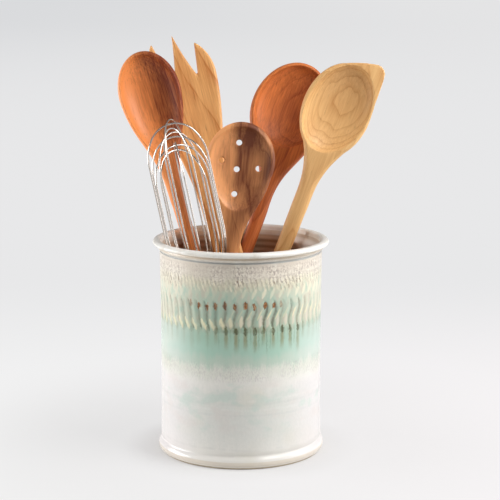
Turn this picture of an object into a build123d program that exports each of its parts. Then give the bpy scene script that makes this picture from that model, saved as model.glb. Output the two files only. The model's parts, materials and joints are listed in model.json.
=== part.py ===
from build123d import *
from math import sqrt
import os

os.makedirs("parts", exist_ok=True)

# Utensil crock with six kitchen utensils, in millimetres.
# The origin is the middle of the foot ring, on the surface that the crock stands on.
# +Z is up and -Y is the side that the utensils face.

# Driving dimensions of the thrown crock
crock_height = 178.0
wall_radius = 66.3
shoulder_radius = 67.1
wall_thickness = 5.3
floor_thickness = 8.0
floor_corner = 9.0

# Rolled rim, with a bead and a cut groove under it
rim_radius = 72.7
rim_crest_radius = 69.0
rim_roll_height = 5.0
lip_thickness = 6.8
lip_fall = 11.0
bead_radius = 69.0
bead_height = 3.4
neck_depth = 0.7
groove_width = 1.4
groove_depth = 0.7

# Throwing rings left by the potter's fingers inside the mouth
throwing_rings = 5
ring_pitch = 5.2
ring_depth = 0.45

# Rolled foot with an unglazed bevel, and a shallow turned recess underneath
foot_radius = 69.0
foot_edge_radius = 67.9
foot_roll_height = 9.5
foot_bevel = 1.5
foot_groove_depth = 0.6
foot_groove_width = 3.0
foot_ring_width = 13.0
foot_recess = 1.5
recess_slope = 1.0

# Clearances
seat_gap = 0.3
fit_gap = 0.1
overrun = 20.0

# Left cherry spoon: a long egg-shaped bowl
left_butt_radius = 4.6
left_bowl_height = 294.0
left_bowl_half_width = 26.6
left_bowl_half_depth = 12.0
left_bowl_cap = 36.0
left_hollow_low = 52.0
left_hollow_depth = 12.5

# Right cherry spoon: a wide round bowl on a handle that bends under it
right_butt_radius = 4.8
right_bowl_height = 285.0
right_bowl_half_width = 32.2
right_bowl_half_depth = 13.0
right_bowl_cap = 41.0
right_hollow_low = 36.0
right_hollow_depth = 13.0
right_bowl_angle = 8.0

# Walnut slotted spoon: a shallow bowl with five drilled holes
slotted_butt_radius = 4.6
slotted_bowl_height = 229.0
slotted_bowl_half_width = 28.5
slotted_bowl_half_depth = 8.0
slotted_bowl_cap = 32.0
slotted_hollow_low = 42.0
slotted_hollow_depth = 8.2
slotted_hole_radius = 2.5

# Maple corner spoon: its bowl runs out to a point at the upper right
corner_butt_radius = 5.4
corner_bowl_height = 284.0
corner_bowl_half_width = 29.3
corner_bowl_half_depth = 12.5
corner_bowl_cap = 41.0
corner_hollow_low = 37.0
corner_hollow_depth = 12.5
corner_hollow_angle = 8.0
corner_point_round = 8.5
corner_point_thickness = 8.0
corner_point_slope = 18.0

# What every spoon has in common
face_front = 4.3
hollow_lift = 1.6
bowl_rim = 2.7

# Three-tined wooden fork
fork_length = 346.0
fork_half_width = 29.3
fork_thickness = 6.0
fork_butt_radius = 9.0
fork_edge_round = 1.2

# Balloon whisk
whisk_loops = 8
whisk_loop_skip = 5
whisk_wire_radius = 0.7
whisk_radius = 24.5
whisk_tip_radius = 21.5
whisk_tip_height = 268.0
whisk_shoulder_drop = 31.0
whisk_neck_height = 175.0
whisk_stagger = 3.6
whisk_loop_start = 75.0
plug_circle = 7.6
plug_flange_radius = 10.2
plug_flange_height = 4.0
plug_spigot_length = 12.0
whisk_tube_radius = 10.0
whisk_tube_waist = 9.6
whisk_tube_wall = 1.2
whisk_tube_length = 80.0
cap_height = 8.0
cap_nose_radius = 7.6
hanger_radius = 5.2
hanger_wire_radius = 1.25
hanger_leg = 7.0

# Where each utensil stands on the floor and crosses the mouth, as shares of the inner radius
inner_radius = wall_radius - wall_thickness
mouth_height = crock_height - rim_roll_height - neck_depth
left_foot_share, left_mouth_share = (0.044, 0.131), (-0.703, 0.541)
right_foot_share, right_mouth_share = (-0.798, 0.315), (0.182, 0.885)
fork_foot_share, fork_mouth_share = (0.459, -0.164), (-0.238, 0.656)
slotted_foot_share, slotted_mouth_share = (-0.366, 0.0), (-0.111, 0.131)
corner_foot_share, corner_mouth_share = (-0.341, 0.492), (0.659, 0.574)
whisk_foot_share, whisk_mouth_share = (-0.02, -0.328), (-0.575, -0.213)

# Each spoon's neck and bowl, in even steps from the neck to the bowl's widest place. A station is the shares
# of the bowl's half width that its middle stands across and that it is half wide, and of its half depth.
left_neck_share = 0.667
left_station_shares = (
    (-0.05, 0.229, 0.36),
    (-0.045, 0.27, 0.375),
    (-0.02, 0.406, 0.467),
    (0.0, 0.67, 0.70),
    (0.01, 0.902, 0.908),
    (0.019, 1.0, 1.0),
)
right_neck_share = 0.681
right_station_shares = (
    (-0.05, 0.193, 0.34),
    (-0.09, 0.23, 0.35),
    (-0.13, 0.40, 0.47),
    (-0.19, 0.70, 0.74),
    (-0.24, 0.92, 0.92),
    (-0.264, 1.0, 1.0),
)
slotted_neck_share = 0.655
slotted_station_shares = (
    (0.0, 0.163, 0.54),
    (0.01, 0.25, 0.54),
    (0.02, 0.42, 0.57),
    (0.03, 0.68, 0.72),
    (0.02, 0.88, 0.90),
    (0.0, 1.0, 1.0),
)
corner_neck_share = 0.676
corner_station_shares = (
    (-0.03, 0.235, 0.35),
    (-0.03, 0.24, 0.355),
    (-0.03, 0.31, 0.42),
    (-0.025, 0.54, 0.60),
    (-0.03, 0.86, 0.87),
    (-0.04, 1.0, 1.0),
)

# Places of the slotted spoon's holes, as shares of its bowl's half width from the bowl's middle
slotted_hole_shares = ((-0.09, 0.50), (-0.55, -0.05), (-0.09, -0.28), (0.54, -0.20), (-0.09, -1.0))

# Corner spoon's point, as shares of the bowl's half width from the bowl's middle: where its right edge leaves
# the bowl, its point, the middle and the end of its bowed top edge, and a place inside the bowl
corner_point_shares = ((0.955, 0.05), (0.875, 1.69), (0.28, 1.58), (-0.30, 1.37), (-0.05, 0.3))

# Fork outline from the handle's shoulder to the tines, as shares of its half width and its length
fork_side_shares = ((0.437, 0.545), (0.597, 0.675), (0.945, 0.832), (1.0, 0.886))
fork_right_tine_shares = ((0.91, 0.935), (0.587, 0.975))
fork_left_tine_shares = ((-0.93, 0.945), (-0.65, 0.998))
fork_right_notch_shares = ((0.457, 0.889), (0.15, 0.960))
fork_left_notch_shares = ((-0.29, 0.870), (-0.13, 0.935))
fork_middle_tip_shares = ((0.0, 1.008),)


def leaning_plane(foot_share, mouth_share, seat_height):
    """Plane of a leaning utensil: Z runs up its length, X to the right across its face."""
    foot = Vector(foot_share[0] * inner_radius, foot_share[1] * inner_radius, seat_height)
    mouth = Vector(mouth_share[0] * inner_radius, mouth_share[1] * inner_radius, mouth_height)
    along = (mouth - foot).normalized()
    return Plane(origin=foot, x_dir=Vector(along.Z, 0, -along.X), z_dir=along)


def round_end_height(foot_share, mouth_share, radius, half_thickness):
    """Height of the middle of a half-round end that just clears the floor, its face turned as the plane's."""
    across = leaning_plane(foot_share, mouth_share, floor_thickness).y_dir.Z
    return floor_thickness + seat_gap + radius * sqrt(1 - across**2) + half_thickness * abs(across)


def finish(piece, label, plane=Plane.XY):
    """Put an upright piece where it leans, name it and write it."""
    placed = piece.moved(plane.location)
    placed.label = label
    export_step(placed, f"parts/{label}.step")


def half_egg(half_width, upper, lower, bulge):
    """Egg about the origin, long up Z, whose depth in Y is bulge."""
    with BuildPart() as egg:
        with BuildSketch(Plane.XZ):
            with BuildLine():
                EllipticalCenterArc((0, 0), half_width, upper, start_angle=0, arc_size=90)
                EllipticalCenterArc((0, 0), half_width, lower, start_angle=-90, arc_size=90)
                Line((0, upper), (0, -lower))
            make_face()
        revolve(axis=Axis.Z)
        scale(by=(1, bulge / half_width, 1))
    return egg.part


def spoon_blank(butt_radius, height, half_width, half_depth, cap, neck_share, station_shares, turn=0):
    """Upright spoon without its hollow: round butt, tapered handle, lofted neck, domed bowl and flat face."""
    neck_height = neck_share * height
    step = (height - neck_height) / (len(station_shares) - 1)
    neck_across, neck_wide, neck_deep = station_shares[0]
    middle = Location((station_shares[-1][0] * half_width, 0, height), (0, turn, 0))
    with BuildPart() as blank:
        Sphere(butt_radius)
        with BuildSketch():
            Circle(butt_radius)
        with BuildSketch(Plane(origin=(neck_across * half_width, 0, neck_height))):
            Ellipse(neck_wide * half_width, neck_deep * half_depth)
        loft()
        for index, (across, wide, deep) in enumerate(station_shares[:-1]):
            with BuildSketch(Plane(origin=(across * half_width, 0, neck_height + index * step))):
                Ellipse(wide * half_width, deep * half_depth)
        with BuildSketch(Plane(middle)):
            Ellipse(half_width, half_depth)
        loft()
        add(half_egg(half_width, cap, cap, half_depth).moved(middle))
        with BuildSketch(Plane.XZ.offset(face_front)):
            with Locations((0, neck_height)):
                Rectangle(4 * half_width, height, align=(Align.CENTER, Align.MIN))
        extrude(amount=overrun, mode=Mode.SUBTRACT)
    return blank.part


def hollow_cut(height, across, half_width, upper, lower, depth, turn=0):
    """Egg that cuts a spoon's hollow into its face."""
    cut = half_egg(half_width, upper, lower, depth + hollow_lift)
    return cut.moved(Location((across, -face_front - hollow_lift, height), (0, turn, 0)))


# Crock: one revolved profile, from the recess under the floor round the outside to the inner floor
foot_ring_radius = foot_edge_radius - foot_bevel
ring_inner_radius = foot_ring_radius - foot_ring_width
foot_top_radius = wall_radius + foot_groove_depth
wall_start = foot_roll_height + foot_groove_width
underside = crock_height - rim_roll_height
bead_low = underside - bead_height
groove_low = bead_low - groove_width
lip_radius = rim_radius - lip_thickness
lip_height = crock_height - rim_roll_height / 2
ring_top = crock_height - lip_fall
ring_low = ring_top - throwing_rings * ring_pitch
corner_top = floor_thickness + floor_corner

with BuildPart() as crock_body:
    with BuildSketch(Plane.XZ):
        with BuildLine():
            Polyline(
                (0, floor_thickness),
                (0, foot_recess),
                (ring_inner_radius - recess_slope, foot_recess),
                (ring_inner_radius, 0),
                (foot_ring_radius, 0),
                (foot_edge_radius, foot_bevel),
            )
            ThreePointArc(
                (foot_edge_radius, foot_bevel),
                (foot_radius, (foot_bevel + foot_roll_height) / 2),
                (foot_top_radius, foot_roll_height),
            )
            ThreePointArc(
                (foot_top_radius, foot_roll_height),
                (wall_radius, foot_roll_height + foot_groove_width / 2),
                (foot_top_radius, wall_start),
            )
            ThreePointArc(
                (foot_top_radius, wall_start),
                (wall_radius, (wall_start + groove_low) / 2),
                (shoulder_radius, groove_low),
            )
            ThreePointArc(
                (shoulder_radius, groove_low),
                (shoulder_radius - groove_depth, groove_low + groove_width / 2),
                (shoulder_radius, bead_low),
            )
            ThreePointArc(
                (shoulder_radius, bead_low),
                (bead_radius, bead_low + bead_height / 2),
                (bead_radius - neck_depth, underside),
            )
            Line((bead_radius - neck_depth, underside), (rim_crest_radius, underside))
            EllipticalCenterArc(
                (rim_crest_radius, lip_height),
                rim_radius - rim_crest_radius,
                rim_roll_height / 2,
                start_angle=-90,
                arc_size=180,
            )
            EllipticalCenterArc(
                (rim_crest_radius, lip_height),
                rim_crest_radius - lip_radius,
                rim_roll_height / 2,
                start_angle=90,
                arc_size=90,
            )
            Line((lip_radius, lip_height), (inner_radius, ring_top))
            for ring in range(throwing_rings):
                high = ring_top - ring * ring_pitch
                ThreePointArc(
                    (inner_radius, high),
                    (inner_radius + ring_depth, high - ring_pitch / 2),
                    (inner_radius, high - ring_pitch),
                )
            Line((inner_radius, ring_low), (inner_radius, corner_top))
            RadiusArc((inner_radius, corner_top), (inner_radius - floor_corner, floor_thickness), floor_corner)
            Line((inner_radius - floor_corner, floor_thickness), (0, floor_thickness))
        make_face()
    revolve(axis=Axis.Z)
finish(crock_body.part, "crock_body")


# Left cherry spoon
with BuildPart() as left_cherry_spoon:
    add(
        spoon_blank(
            left_butt_radius,
            left_bowl_height,
            left_bowl_half_width,
            left_bowl_half_depth,
            left_bowl_cap,
            left_neck_share,
            left_station_shares,
        )
    )
    add(
        hollow_cut(
            left_bowl_height,
            left_station_shares[-1][0] * left_bowl_half_width,
            left_bowl_half_width - bowl_rim,
            left_bowl_cap - bowl_rim,
            left_hollow_low,
            left_hollow_depth,
        ),
        mode=Mode.SUBTRACT,
    )
left_seat = floor_thickness + seat_gap + left_butt_radius
left_plane = leaning_plane(left_foot_share, left_mouth_share, left_seat)
finish(left_cherry_spoon.part, "left_cherry_spoon", left_plane)


# Right cherry spoon
with BuildPart() as right_cherry_spoon:
    add(
        spoon_blank(
            right_butt_radius,
            right_bowl_height,
            right_bowl_half_width,
            right_bowl_half_depth,
            right_bowl_cap,
            right_neck_share,
            right_station_shares,
            right_bowl_angle,
        )
    )
    add(
        hollow_cut(
            right_bowl_height,
            right_station_shares[-1][0] * right_bowl_half_width,
            right_bowl_half_width - bowl_rim,
            right_bowl_cap - bowl_rim,
            right_hollow_low,
            right_hollow_depth,
            right_bowl_angle,
        ),
        mode=Mode.SUBTRACT,
    )
right_seat = floor_thickness + seat_gap + right_butt_radius
right_plane = leaning_plane(right_foot_share, right_mouth_share, right_seat)
finish(right_cherry_spoon.part, "right_cherry_spoon", right_plane)


# Walnut slotted spoon
with BuildPart() as slotted_spoon:
    add(
        spoon_blank(
            slotted_butt_radius,
            slotted_bowl_height,
            slotted_bowl_half_width,
            slotted_bowl_half_depth,
            slotted_bowl_cap,
            slotted_neck_share,
            slotted_station_shares,
        )
    )
    add(
        hollow_cut(
            slotted_bowl_height,
            0,
            slotted_bowl_half_width - bowl_rim,
            slotted_bowl_cap - bowl_rim,
            slotted_hollow_low,
            slotted_hollow_depth,
        ),
        mode=Mode.SUBTRACT,
    )
    with BuildSketch(Plane.XZ.offset(-slotted_bowl_half_depth)):
        for across, up in slotted_hole_shares:
            with Locations((across * slotted_bowl_half_width, slotted_bowl_height + up * slotted_bowl_half_width)):
                Circle(slotted_hole_radius)
    extrude(amount=overrun, mode=Mode.SUBTRACT)
slotted_seat = floor_thickness + seat_gap + slotted_butt_radius
slotted_plane = leaning_plane(slotted_foot_share, slotted_mouth_share, slotted_seat)
finish(slotted_spoon.part, "slotted_spoon", slotted_plane)


# Maple corner spoon: the point is a thick wedge that joins the bowl before the hollow is cut
right_edge, point, top_middle, top_end, bowl_inside = [
    (across * corner_bowl_half_width, corner_bowl_height + up * corner_bowl_half_width)
    for across, up in corner_point_shares
]

with BuildPart() as corner_spoon:
    add(
        spoon_blank(
            corner_butt_radius,
            corner_bowl_height,
            corner_bowl_half_width,
            corner_bowl_half_depth,
            corner_bowl_cap,
            corner_neck_share,
            corner_station_shares,
        )
    )
    with BuildSketch(Plane.XZ.offset(face_front)) as point_face:
        with BuildLine():
            Line(right_edge, point)
            ThreePointArc(point, top_middle, top_end)
            Polyline(top_end, bowl_inside, right_edge)
        make_face()
        fillet(point_face.vertices().sort_by(Axis.Y)[-1], corner_point_round)
    extrude(amount=-corner_point_thickness, taper=corner_point_slope)
    add(
        hollow_cut(
            corner_bowl_height,
            corner_station_shares[-1][0] * corner_bowl_half_width,
            corner_bowl_half_width - bowl_rim,
            corner_bowl_cap,
            corner_hollow_low,
            corner_hollow_depth,
            corner_hollow_angle,
        ),
        mode=Mode.SUBTRACT,
    )
corner_seat = floor_thickness + seat_gap + corner_butt_radius
corner_plane = leaning_plane(corner_foot_share, corner_mouth_share, corner_seat)
finish(corner_spoon.part, "corner_spoon", corner_plane)


# Three-tined wooden fork: a sawn board with eased edges
def fork_points(shares):
    """Outline points from shares of the fork's half width and length."""
    return [(across * fork_half_width, up * fork_length) for across, up in shares]


fork_right_side = fork_points(fork_side_shares)
fork_left_side = [(-across, up) for across, up in fork_right_side]
right_tine_side, right_tip = fork_points(fork_right_tine_shares)
left_tine_side, left_tip = fork_points(fork_left_tine_shares)
right_notch, right_slope = fork_points(fork_right_notch_shares)
left_notch, left_slope = fork_points(fork_left_notch_shares)
middle_tip = fork_points(fork_middle_tip_shares)[0]

with BuildPart() as wooden_fork:
    with BuildSketch(Plane.XZ):
        with BuildLine():
            ThreePointArc((-fork_butt_radius, 0), (0, -fork_butt_radius), (fork_butt_radius, 0))
            Line((fork_butt_radius, 0), fork_right_side[0])
            Spline(fork_right_side)
            ThreePointArc(fork_right_side[-1], right_tine_side, right_tip)
            Line(right_tip, right_notch)
            ThreePointArc(right_notch, right_slope, middle_tip)
            ThreePointArc(middle_tip, left_slope, left_notch)
            Line(left_notch, left_tip)
            ThreePointArc(left_tip, left_tine_side, fork_left_side[-1])
            Spline(fork_left_side[::-1])
            Line(fork_left_side[0], (-fork_butt_radius, 0))
        make_face()
    extrude(amount=fork_thickness / 2, both=True)
    chamfer(wooden_fork.faces().filter_by(Axis.Y).edges(), fork_edge_round)
fork_seat = round_end_height(fork_foot_share, fork_mouth_share, fork_butt_radius, fork_thickness / 2)
fork_plane = leaning_plane(fork_foot_share, fork_mouth_share, fork_seat)
finish(wooden_fork.part, "wooden_fork", fork_plane)


# Balloon whisk: eight nested loops, each bent in one plane and turned about the whisk's axis.
# Each loop skips some places round the plug, so that wide and narrow ones lie between each other.
whisk_seat = round_end_height(whisk_foot_share, whisk_mouth_share, hanger_radius, 0) + hanger_wire_radius
whisk_plane = leaning_plane(whisk_foot_share, whisk_mouth_share, whisk_seat)
cap_low = hanger_leg
tube_low = cap_low + cap_height
tube_high = tube_low + whisk_tube_length
plug_top = tube_high + plug_flange_height
tube_bore = whisk_tube_radius - whisk_tube_wall

for loop in range(whisk_loops):
    tip = whisk_tip_height - loop * whisk_stagger
    shoulder = tip - whisk_shoulder_drop
    rise = whisk_shoulder_drop - whisk_tip_radius
    # The shoulder arc leaves the straight side upright and meets the tip arc in line with it
    side_arc = (whisk_radius**2 + rise**2 - whisk_tip_radius**2) / (2 * (whisk_radius - whisk_tip_radius))
    reach = sqrt((side_arc - whisk_radius) ** 2 + rise**2)
    meet = (
        whisk_tip_radius * (side_arc - whisk_radius) / reach,
        tip - whisk_tip_radius + whisk_tip_radius * rise / reach,
    )
    start = (plug_circle, plug_top)
    neck = (whisk_radius, whisk_neck_height)
    middle = ((start[0] + neck[0]) / 2, (start[1] + neck[1]) / 2)
    with BuildPart() as whisk_loop:
        with BuildLine(Plane.XZ):
            lower = TangentArc(start, middle, tangent=(0, 1))
            TangentArc(middle, neck, tangent=lower % 1)
            Line(neck, (whisk_radius, shoulder))
            TangentArc((whisk_radius, shoulder), meet, tangent=(0, 1))
            mirror(about=Plane.YZ)
            ThreePointArc(meet, (0, tip), (-meet[0], meet[1]))
        with BuildSketch(Plane(origin=(plug_circle, 0, plug_top))):
            Circle(whisk_wire_radius)
        sweep()
    turned = whisk_loop.part.rotate(Axis.Z, whisk_loop_start + loop * whisk_loop_skip * 180 / whisk_loops)
    finish(turned, f"whisk_loop_{loop + 1}", whisk_plane)

# Whisk plug: a flange that carries the wires and a spigot inside the tube
with BuildPart() as whisk_plug:
    with BuildSketch(Plane.XY.offset(tube_high)):
        Circle(plug_flange_radius)
    extrude(amount=plug_flange_height)
    with BuildSketch(Plane.XY.offset(tube_high)):
        Circle(tube_bore - fit_gap)
    extrude(amount=-plug_spigot_length)
finish(whisk_plug.part, "whisk_plug", whisk_plane)

# Whisk handle: a steel tube with a slight waist
with BuildPart() as whisk_handle:
    with BuildSketch(Plane.XZ):
        with BuildLine():
            Polyline(
                (whisk_tube_radius, tube_low),
                (tube_bore, tube_low),
                (tube_bore, tube_high),
                (whisk_tube_radius, tube_high),
            )
            ThreePointArc(
                (whisk_tube_radius, tube_high),
                (whisk_tube_waist, (tube_low + tube_high) / 2),
                (whisk_tube_radius, tube_low),
            )
        make_face()
    revolve(axis=Axis.Z)
finish(whisk_handle.part, "whisk_handle", whisk_plane)

# Whisk end cap: a domed nose under the tube and a spigot inside it
with BuildPart() as whisk_end_cap:
    with BuildSketch(Plane.XZ):
        with BuildLine():
            Polyline(
                (cap_nose_radius, cap_low),
                (0, cap_low),
                (0, tube_low + plug_spigot_length),
                (tube_bore - fit_gap, tube_low + plug_spigot_length),
                (tube_bore - fit_gap, tube_low),
                (whisk_tube_radius, tube_low),
            )
            TangentArc((whisk_tube_radius, tube_low), (cap_nose_radius, cap_low), tangent=(0, -1))
        make_face()
    revolve(axis=Axis.Z)
finish(whisk_end_cap.part, "whisk_end_cap", whisk_plane)

# Whisk hanger: a bent wire whose two legs stand on the end cap
with BuildPart() as whisk_hanger:
    with BuildLine(Plane.XZ):
        Line((hanger_radius, cap_low), (hanger_radius, 0))
        ThreePointArc((hanger_radius, 0), (0, -hanger_radius), (-hanger_radius, 0))
        Line((-hanger_radius, 0), (-hanger_radius, cap_low))
    with BuildSketch(Plane(origin=(hanger_radius, 0, cap_low))):
        Circle(hanger_wire_radius)
    sweep()
finish(whisk_hanger.part, "whisk_hanger", whisk_plane)
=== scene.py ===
import json
from math import atan2, cos, exp, hypot, pi, radians, sin

import bmesh
import bpy
from mathutils import Matrix, Vector

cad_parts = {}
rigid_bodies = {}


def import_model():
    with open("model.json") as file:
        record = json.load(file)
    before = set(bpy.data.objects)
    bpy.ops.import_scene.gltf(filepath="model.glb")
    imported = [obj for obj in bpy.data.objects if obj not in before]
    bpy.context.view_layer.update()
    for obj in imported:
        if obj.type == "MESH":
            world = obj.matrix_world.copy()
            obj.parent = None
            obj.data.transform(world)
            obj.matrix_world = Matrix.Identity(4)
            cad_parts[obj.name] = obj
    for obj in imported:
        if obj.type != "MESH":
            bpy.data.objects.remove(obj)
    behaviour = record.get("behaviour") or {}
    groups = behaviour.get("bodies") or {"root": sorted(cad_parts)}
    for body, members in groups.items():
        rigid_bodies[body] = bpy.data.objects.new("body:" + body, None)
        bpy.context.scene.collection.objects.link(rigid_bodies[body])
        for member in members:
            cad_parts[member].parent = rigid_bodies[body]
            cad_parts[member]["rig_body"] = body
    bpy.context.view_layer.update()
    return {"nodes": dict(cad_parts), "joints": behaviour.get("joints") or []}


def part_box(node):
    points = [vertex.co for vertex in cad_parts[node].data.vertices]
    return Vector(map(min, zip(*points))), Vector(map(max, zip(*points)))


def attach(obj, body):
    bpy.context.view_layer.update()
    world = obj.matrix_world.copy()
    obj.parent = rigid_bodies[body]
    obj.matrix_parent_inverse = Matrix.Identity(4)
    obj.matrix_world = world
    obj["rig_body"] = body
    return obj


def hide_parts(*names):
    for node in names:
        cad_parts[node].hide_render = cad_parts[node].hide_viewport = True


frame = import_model()
nodes = frame["nodes"]
bpy.ops.object.select_all(action="DESELECT")
bpy.context.scene.view_settings.view_transform = "Standard"

# Utensil crock with wooden spoons, a fork and a whisk, in metres.
# +Z is up, and -Y is the side that the utensils face.
mm = 0.001

# Sizes of the thrown crock
crock_height = 178 * mm
wall_radius = 66.3 * mm
shoulder_radius = 67.1 * mm
inner_radius = 61 * mm
floor_height = 8 * mm
floor_corner = 9 * mm
rim_radius = 72.7 * mm
crest_radius = 69 * mm
roll_height = 5 * mm
lip_radius = 65.9 * mm
lip_fall = 11 * mm
lip_bulge = 0.5 * mm
bead_radius = 69 * mm
bead_height = 3.4 * mm
bead_bulge = 1 * mm
neck_depth = 0.7 * mm
groove_width = 1.4 * mm
groove_depth = 0.7 * mm
foot_edge_radius = 67.9 * mm
foot_roll_height = 9.5 * mm
foot_roll_bulge = 1.5 * mm
foot_bevel = 1.5 * mm
foot_groove_width = 3 * mm
foot_groove_depth = 0.6 * mm
ring_width = 13 * mm
recess = 1.5 * mm
recess_slope = 1 * mm
finger_ring_pitch = 5.2 * mm
finger_ring_depth = 0.45 * mm

# Soft lines that the potter's rib left on the wall: how high each is, and how far it stands out
rib_lines = ((57 * mm, 0.16 * mm), (51 * mm, -0.12 * mm), (45 * mm, 0.14 * mm), (30 * mm, 0.08 * mm))
rib_line_width = 2.2 * mm

# Marks that a chattering tool cut round the shoulder. They slant on the left side and curl on the right.
# Their half width, slant and curl are in shares of the distance from one to the next.
marks = 54
mark_low = 114.5 * mm
mark_high = 138.5 * mm
mark_depth = 0.5 * mm
mark_half_width = 0.4
mark_taper = 0.7
least_reach = 0.02
mark_slant = 0.8
mark_curl = 0.2
left_curl_loss = 0.6

# Sine of the turn round the axis where the left side is full, and where it ends
left_side_full = -0.6
left_side_end = 0.15

# Mesh of the crock
columns_per_mark = 8
fine_step = 0.75 * mm
coarse_step = 3.2 * mm


def srgb(red, green, blue):
    """A colour as it is picked on a screen, from 0 to 255, made linear."""
    shares = [value / 255 for value in (red, green, blue)]
    return tuple(s / 12.92 if s <= 0.04045 else ((s + 0.055) / 1.055) ** 2.4 for s in shares) + (1,)


class Tree:
    """Adds nodes to a node tree, with numbers or sockets as their inputs."""

    def __init__(self, tree):
        self.tree = tree

    def put(self, value, socket):
        """Links a socket to an input, or sets the input to a number, vector or colour."""
        if isinstance(value, bpy.types.NodeSocket):
            self.tree.links.new(value, socket)
        else:
            socket.default_value = value

    def add(self, kind, settings=None, **inputs):
        """A new node with its settings, and its inputs by name."""
        node = self.tree.nodes.new("ShaderNode" + kind)
        for name, value in (settings or {}).items():
            setattr(node, name, value)
        for name, value in inputs.items():
            self.put(value, node.inputs[name.replace("_", " ")])
        return node

    def math(self, operation, *values, clamp=False):
        node = self.add("Math", {"operation": operation, "use_clamp": clamp})
        for value, socket in zip(values, node.inputs):
            self.put(value, socket)
        return node.outputs[0]

    def chain(self, operation, values, clamp):
        """The same operation on one value after another. Only its last result is clamped."""
        result = values[0]
        for value in values[1:-1]:
            result = self.math(operation, result, value)
        return self.math(operation, result, values[-1], clamp=clamp)

    def plus(self, *values, clamp=False):
        return self.chain("ADD", values, clamp)

    def times(self, *values, clamp=False):
        return self.chain("MULTIPLY", values, clamp)

    def minus(self, value, taken):
        return self.math("SUBTRACT", value, taken)

    def times_plus(self, value, factor, added, clamp=False):
        return self.math("MULTIPLY_ADD", value, factor, added, clamp=clamp)

    def vector(self, operation, *values):
        node = self.add("VectorMath", {"operation": operation})
        for value, socket in zip(values, node.inputs):
            self.put(value, socket)
        return node.outputs["Value"] if operation in ("DOT_PRODUCT", "LENGTH") else node.outputs[0]

    def drawn_out(self, place, share):
        """A place whose Z counts for this share, which draws a pattern out along Z or presses it."""
        return self.vector("MULTIPLY", place, (1, 1, share))

    def separate(self, vector):
        return self.add("SeparateXYZ", Vector=vector).outputs

    def from_axis(self, x, y):
        """How far a point is from the upright axis."""
        return self.vector("LENGTH", self.add("CombineXYZ", X=x, Y=y).outputs[0])

    def between(self, value, low, high, start=0.0, end=1.0):
        """Goes smoothly from start to end while value goes from low to high."""
        node = self.add("MapRange", {"interpolation_type": "SMOOTHSTEP"})
        for item, socket in zip((value, low, high, start, end), node.inputs):
            self.put(item, socket)
        return node.outputs[0]

    def band(self, value, low, high, soft_low, soft_high=None):
        """1 from low to high, with soft edges outside them."""
        rise = self.between(value, low - soft_low, low)
        fall = self.between(value, high, high + (soft_high or soft_low), 1.0, 0.0)
        return self.times(rise, fall)

    def mix(self, factor, first, second, blend="MIX"):
        """A colour between two others, or their blend."""
        node = self.add("Mix", {"data_type": "RGBA", "blend_type": blend})
        self.put(factor, node.inputs[0])
        self.put(first, node.inputs[6])
        self.put(second, node.inputs[7])
        return node.outputs[2]

    def noise(self, vector, scale, detail=2.0, roughness=0.5):
        """Noise from about -0.5 to 0.5."""
        node = self.add("TexNoise", Vector=vector, Scale=scale, Detail=detail, Roughness=roughness)
        return self.minus(node.outputs[0], 0.5)

    def random(self, value):
        """The same random number from 0 to 1 for each whole value."""
        return self.add("TexWhiteNoise", {"noise_dimensions": "1D"}, W=value).outputs["Value"]

    def ramp(self, value, stops):
        """The colour at a value, eased from each stop to the next."""
        node = self.add("ValToRGB", Fac=value)
        node.color_ramp.interpolation = "EASE"
        places = node.color_ramp.elements
        while len(places) < len(stops):
            places.new(0.5)
        for place, (position, colour) in zip(places, stops):
            place.position = position
            place.color = colour
        return node.outputs[0]


def new_material(name, **settings):
    """A material with one Principled BSDF. Returns it, its tree and its shader."""
    material = bpy.data.materials.new(name)
    material.use_nodes = True
    material.node_tree.nodes.clear()
    tree = Tree(material.node_tree)
    shader = tree.add("BsdfPrincipled", **settings)
    output = tree.add("OutputMaterial")
    tree.put(shader.outputs[0], output.inputs[0])
    return material, tree, shader


def relief(tree, shader, height, distance, strength):
    """Joins a height to the shader's normal."""
    bump = tree.add("Bump", Height=height, Distance=distance, Strength=strength)
    tree.put(bump.outputs[0], shader.inputs["Normal"])


def new_group(name, inputs, outputs):
    """A node group with named sockets. Returns it, its tree, its inputs and its output node."""
    group = bpy.data.node_groups.new(name, "ShaderNodeTree")
    kinds = {"f": "NodeSocketFloat", "c": "NodeSocketColor", "v": "NodeSocketVector"}
    for socket, kind in inputs:
        group.interface.new_socket(socket, in_out="INPUT", socket_type=kinds[kind])
    for socket, kind in outputs:
        group.interface.new_socket(socket, in_out="OUTPUT", socket_type=kinds[kind])
    tree = Tree(group)
    start = group.nodes.new("NodeGroupInput")
    end = group.nodes.new("NodeGroupOutput")
    return group, tree, start.outputs, end.inputs


def use_group(tree, group, **inputs):
    """Places a node group in a tree with its own values."""
    node = tree.tree.nodes.new("ShaderNodeGroup")
    node.node_tree = group
    for name, value in inputs.items():
        tree.put(value, node.inputs[name.replace("_", " ")])
    return node.outputs


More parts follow.
